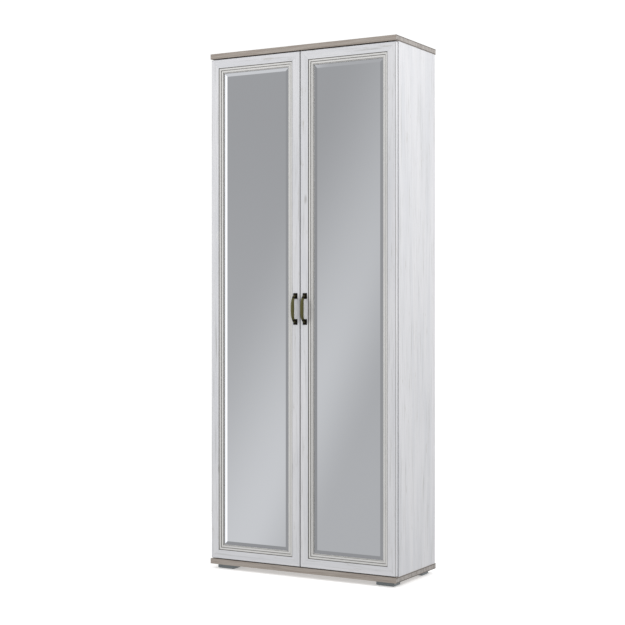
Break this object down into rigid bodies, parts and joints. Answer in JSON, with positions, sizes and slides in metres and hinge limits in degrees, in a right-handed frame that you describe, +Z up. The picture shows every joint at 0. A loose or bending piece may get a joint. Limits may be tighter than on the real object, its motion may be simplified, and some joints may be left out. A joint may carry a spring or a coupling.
{
  "type": "armoire",
  "caption": "Tall free-standing wardrobe: mirrored frame doors on concealed hinges, overhanging top and bottom boards, low feet, shelves on one side and a hanging space on the other.",
  "frame": {"origin": "middle of the outer box in X and Y, on the floor", "axes": "+X to the right seen from the front, the front with its doors looks along -Y, +Z up"},
  "size_m": [0.9, 0.4034, 2.236],
  "materials": {
    "white_pine_board": "satin foil with a washed pine grain",
    "grey_oak_board": "matt foil with a limed oak grain",
    "silvered_glass": "silvered float glass with a bevelled edge",
    "white_hardboard": "matt, painted",
    "antique_bronze": "cast, darkened and rubbed back",
    "grey_foot_metal": "satin powder coat",
    "nickel_plated_steel": "satin nickel plate",
    "zinc_plated_steel": "bright zinc plate",
    "zinc_cast_cam": "as cast",
    "beech": "raw, fluted",
    "felt": "pressed felt",
    "clear_bumper": "clear, soft"
  },
  "bodies": {
    "carcass": {"top_board": "grey_oak_board", "bottom_board": "grey_oak_board", "divider": "white_pine_board", "hat_shelf": "white_pine_board", "side_left": "white_pine_board", "side_right": "white_pine_board", "back_left": "white_hardboard", "back_right": "white_hardboard", "shelf_left_1": "white_pine_board", "shelf_left_2": "white_pine_board", "shelf_left_3": "white_pine_board", "shelf_left_4": "white_pine_board", "hanging_rail": "nickel_plated_steel", "rail_socket_front": "nickel_plated_steel", "rail_socket_rear": "nickel_plated_steel", "rail_screws": "zinc_plated_steel", "foot_front_left": "grey_foot_metal", "foot_front_right": "grey_foot_metal", "foot_rear_left": "grey_foot_metal", "foot_rear_right": "grey_foot_metal", "foot_pads": "felt", "foot_screws": "zinc_plated_steel", "cams": "zinc_cast_cam", "cam_bolts": "zinc_plated_steel", "dowels": "beech", "shelf_pins": "zinc_plated_steel", "back_nails": "zinc_plated_steel", "wall_bracket_left": "zinc_plated_steel", "wall_bracket_right": "zinc_plated_steel", "wall_bracket_screws": "zinc_plated_steel", "door_bumpers": "clear_bumper", "hinge_plates": "nickel_plated_steel", "hinge_plate_screws": "zinc_plated_steel", "hinge_arms": "nickel_plated_steel"},
    "hinge_links_left": {"hinge_links_left": "nickel_plated_steel"},
    "door_left": {"outer_stile_left": "white_pine_board", "inner_stile_left": "white_pine_board", "top_rail_left": "white_pine_board", "bottom_rail_left": "white_pine_board", "mirror_left": "silvered_glass", "mirror_backing_left": "white_hardboard", "backing_pins_left": "zinc_plated_steel", "handle_left": "antique_bronze", "handle_screws_left": "zinc_plated_steel", "hinge_cups_left": "nickel_plated_steel", "cup_screws_left": "zinc_plated_steel"},
    "hinge_links_right": {"hinge_links_right": "nickel_plated_steel"},
    "door_right": {"outer_stile_right": "white_pine_board", "inner_stile_right": "white_pine_board", "top_rail_right": "white_pine_board", "bottom_rail_right": "white_pine_board", "mirror_right": "silvered_glass", "mirror_backing_right": "white_hardboard", "backing_pins_right": "zinc_plated_steel", "handle_right": "antique_bronze", "handle_screws_right": "zinc_plated_steel", "hinge_cups_right": "nickel_plated_steel", "cup_screws_right": "zinc_plated_steel"}
  },
  "joints": [
    {"name": "link_swing_left", "type": "hinge", "parent": "carcass", "child": "hinge_links_left", "pos_m": [-0.414, -0.14975, 0.146], "axis": [0, 0, 1], "range_deg": [0, 42]},
    {"name": "door_swing_left", "type": "hinge", "parent": "hinge_links_left", "child": "door_left", "pos_m": [-0.435, -0.15675, 0.146], "axis": [0, 0, -1], "range_deg": [0, 147]},
    {"name": "link_swing_right", "type": "hinge", "parent": "carcass", "child": "hinge_links_right", "pos_m": [0.414, -0.14975, 0.146], "axis": [0, 0, -1], "range_deg": [0, 42]},
    {"name": "door_swing_right", "type": "hinge", "parent": "hinge_links_right", "child": "door_right", "pos_m": [0.435, -0.15675, 0.146], "axis": [0, 0, 1], "range_deg": [0, 147]}
  ],
  "couplings": [
    {"joint": "link_swing_left", "follows": "door_swing_left", "ratio": 0.28571},
    {"joint": "link_swing_right", "follows": "door_swing_right", "ratio": 0.28571}
  ]
}
